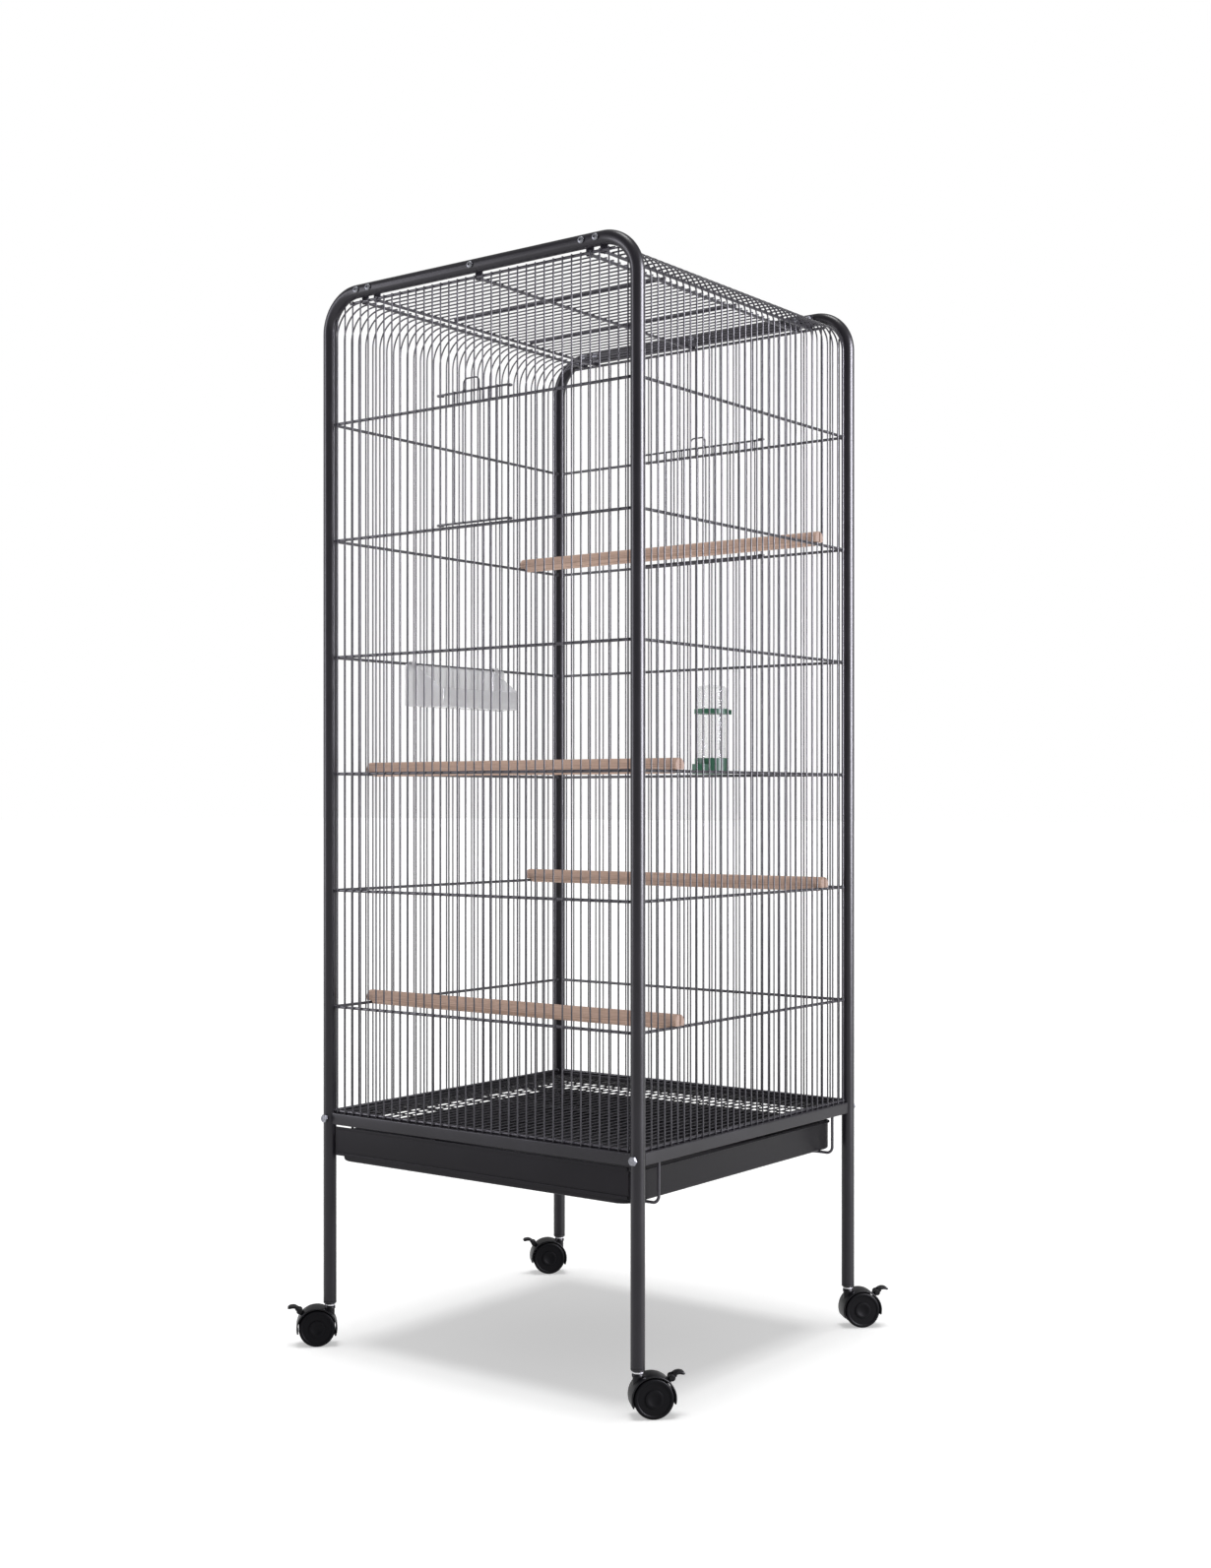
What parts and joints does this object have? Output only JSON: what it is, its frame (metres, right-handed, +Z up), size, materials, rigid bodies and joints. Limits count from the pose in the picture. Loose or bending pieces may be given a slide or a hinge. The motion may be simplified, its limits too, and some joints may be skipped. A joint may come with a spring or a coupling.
{
  "type": "bird cage on stand",
  "caption": "Tall square wire bird cage on a wheeled tube stand, with sliding doors, perches, a feeder, a drinker and a pull-out tray.",
  "frame": {"origin": "on the floor, under the middle of the cage", "axes": "+Z up, +X along the front to the right, +Y from the front to the rear"},
  "size_m": [0.6132, 0.6132, 1.46],
  "materials": {
    "frame_black": "black powder coat, fine texture, satin",
    "wire_black": "black powder coat on wire, satin",
    "tray_black": "black powder-coated sheet, satin",
    "bolt_zinc": "zinc plated, dull",
    "perch_wood": "unvarnished dowel, lengthwise grain",
    "clear_plastic": "clear, glossy",
    "green_plastic": "moulded, semi-gloss",
    "plug_plastic": "moulded, matte",
    "stem_steel": "zinc plated, turned",
    "caster_plastic": "moulded nylon, satin",
    "wheel_plastic": "moulded nylon, satin"
  },
  "bodies": {
    "cage": {"front_arch": "frame_black", "rear_arch": "frame_black", "lug_bolts": "bolt_zinc", "lug_nuts": "bolt_zinc", "front_rail": "frame_black", "rear_rail": "frame_black", "left_rail": "frame_black", "right_rail": "frame_black", "rail_bolts": "bolt_zinc", "front_panel": "wire_black", "rear_panel": "wire_black", "left_panel": "wire_black", "right_panel": "wire_black", "roof_panel": "wire_black", "floor_grid": "wire_black", "grid_lugs": "frame_black", "left_runner": "wire_black", "right_runner": "wire_black", "drinker_holder": "green_plastic", "plug_front_left": "plug_plastic", "stem_front_left": "stem_steel", "plug_front_right": "plug_plastic", "stem_front_right": "stem_steel", "plug_rear_right": "plug_plastic", "stem_rear_right": "stem_steel", "plug_rear_left": "plug_plastic", "stem_rear_left": "stem_steel"},
    "tray": {"tray_pan": "tray_black", "tray_front": "tray_black"},
    "front_door": {"front_door": "wire_black"},
    "rear_door": {"rear_door": "wire_black"},
    "feeder": {"feeder_trough": "clear_plastic"},
    "drinker": {"drinker_tube": "clear_plastic", "drinker_cup": "green_plastic"},
    "perch_1": {"perch_1": "perch_wood"},
    "perch_2": {"perch_2": "perch_wood"},
    "perch_3": {"perch_3": "perch_wood"},
    "perch_4": {"perch_4": "perch_wood"},
    "caster_front_left": {"caster_hood_front_left": "caster_plastic", "caster_axle_front_left": "stem_steel"},
    "wheel_a_front_left": {"caster_wheel_a_front_left": "wheel_plastic"},
    "wheel_b_front_left": {"caster_wheel_b_front_left": "wheel_plastic"},
    "brake_front_left": {"caster_brake_front_left": "caster_plastic"},
    "caster_front_right": {"caster_hood_front_right": "caster_plastic", "caster_axle_front_right": "stem_steel"},
    "wheel_a_front_right": {"caster_wheel_a_front_right": "wheel_plastic"},
    "wheel_b_front_right": {"caster_wheel_b_front_right": "wheel_plastic"},
    "brake_front_right": {"caster_brake_front_right": "caster_plastic"},
    "caster_rear_right": {"caster_hood_rear_right": "caster_plastic", "caster_axle_rear_right": "stem_steel"},
    "wheel_a_rear_right": {"caster_wheel_a_rear_right": "wheel_plastic"},
    "wheel_b_rear_right": {"caster_wheel_b_rear_right": "wheel_plastic"},
    "brake_rear_right": {"caster_brake_rear_right": "caster_plastic"},
    "caster_rear_left": {"caster_hood_rear_left": "caster_plastic", "caster_axle_rear_left": "stem_steel"},
    "wheel_a_rear_left": {"caster_wheel_a_rear_left": "wheel_plastic"},
    "wheel_b_rear_left": {"caster_wheel_b_rear_left": "wheel_plastic"},
    "brake_rear_left": {"caster_brake_rear_left": "caster_plastic"}
  },
  "joints": [
    {"name": "tray_slide", "type": "slide", "parent": "cage", "child": "tray", "axis": [0, -1, 0], "range_m": [0, 0.44]},
    {"name": "front_door_lift", "type": "slide", "parent": "cage", "child": "front_door", "axis": [0, 0, 1], "range_m": [0, 0.13]},
    {"name": "rear_door_lift", "type": "slide", "parent": "cage", "child": "rear_door", "axis": [0, 0, 1], "range_m": [0, 0.13]},
    {"name": "feeder_lift", "type": "slide", "parent": "cage", "child": "feeder", "axis": [0, 0, 1], "range_m": [0, 0.03]},
    {"name": "drinker_lift", "type": "slide", "parent": "cage", "child": "drinker", "axis": [0, 0, 1], "range_m": [0, 0.05]},
    {"name": "perch_1_lift", "type": "slide", "parent": "cage", "child": "perch_1", "axis": [0, 0, 1], "range_m": [0, 0.05]},
    {"name": "perch_2_lift", "type": "slide", "parent": "cage", "child": "perch_2", "axis": [0, 0, 1], "range_m": [0, 0.05]},
    {"name": "perch_3_lift", "type": "slide", "parent": "cage", "child": "perch_3", "axis": [0, 0, 1], "range_m": [0, 0.05]},
    {"name": "perch_4_lift", "type": "slide", "parent": "cage", "child": "perch_4", "axis": [0, 0, 1], "range_m": [0, 0.05]},
    {"name": "swivel_front_left", "type": "hinge", "parent": "cage", "child": "caster_front_left", "pos_m": [-0.261, -0.261, 0.05], "axis": [0, 0, 1], "continuous": true},
    {"name": "roll_a_front_left", "type": "hinge", "parent": "caster_front_left", "child": "wheel_a_front_left", "pos_m": [-0.27373, -0.27373, 0.025], "axis": [0.7071, -0.7071, 0], "continuous": true},
    {"name": "roll_b_front_left", "type": "hinge", "parent": "caster_front_left", "child": "wheel_b_front_left", "pos_m": [-0.27373, -0.27373, 0.025], "axis": [0.7071, -0.7071, 0], "continuous": true},
    {"name": "brake_press_front_left", "type": "hinge", "parent": "caster_front_left", "child": "brake_front_left", "pos_m": [-0.29051, -0.29051, 0.04792], "axis": [0.7071, -0.7071, 0], "range_deg": [0, 16]},
    {"name": "swivel_front_right", "type": "hinge", "parent": "cage", "child": "caster_front_right", "pos_m": [0.261, -0.261, 0.05], "axis": [0, 0, 1], "continuous": true},
    {"name": "roll_a_front_right", "type": "hinge", "parent": "caster_front_right", "child": "wheel_a_front_right", "pos_m": [0.27373, -0.24827, 0.025], "axis": [-0.7071, 0.7071, 0], "continuous": true},
    {"name": "roll_b_front_right", "type": "hinge", "parent": "caster_front_right", "child": "wheel_b_front_right", "pos_m": [0.27373, -0.24827, 0.025], "axis": [-0.7071, 0.7071, 0], "continuous": true},
    {"name": "brake_press_front_right", "type": "hinge", "parent": "caster_front_right", "child": "brake_front_right", "pos_m": [0.29051, -0.23149, 0.04792], "axis": [-0.7071, 0.7071, 0], "range_deg": [0, 16]},
    {"name": "swivel_rear_right", "type": "hinge", "parent": "cage", "child": "caster_rear_right", "pos_m": [0.261, 0.261, 0.05], "axis": [0, 0, 1], "continuous": true},
    {"name": "roll_a_rear_right", "type": "hinge", "parent": "caster_rear_right", "child": "wheel_a_rear_right", "pos_m": [0.27373, 0.27373, 0.025], "axis": [-0.7071, 0.7071, 0], "continuous": true},
    {"name": "roll_b_rear_right", "type": "hinge", "parent": "caster_rear_right", "child": "wheel_b_rear_right", "pos_m": [0.27373, 0.27373, 0.025], "axis": [-0.7071, 0.7071, 0], "continuous": true},
    {"name": "brake_press_rear_right", "type": "hinge", "parent": "caster_rear_right", "child": "brake_rear_right", "pos_m": [0.29051, 0.29051, 0.04792], "axis": [-0.7071, 0.7071, 0], "range_deg": [0, 16]},
    {"name": "swivel_rear_left", "type": "hinge", "parent": "cage", "child": "caster_rear_left", "pos_m": [-0.261, 0.261, 0.05], "axis": [0, 0, 1], "continuous": true},
    {"name": "roll_a_rear_left", "type": "hinge", "parent": "caster_rear_left", "child": "wheel_a_rear_left", "pos_m": [-0.27373, 0.24827, 0.025], "axis": [0.7071, -0.7071, 0], "continuous": true},
    {"name": "roll_b_rear_left", "type": "hinge", "parent": "caster_rear_left", "child": "wheel_b_rear_left", "pos_m": [-0.27373, 0.24827, 0.025], "axis": [0.7071, -0.7071, 0], "continuous": true},
    {"name": "brake_press_rear_left", "type": "hinge", "parent": "caster_rear_left", "child": "brake_rear_left", "pos_m": [-0.29051, 0.23149, 0.04792], "axis": [0.7071, -0.7071, 0], "range_deg": [0, 16]}
  ]
}
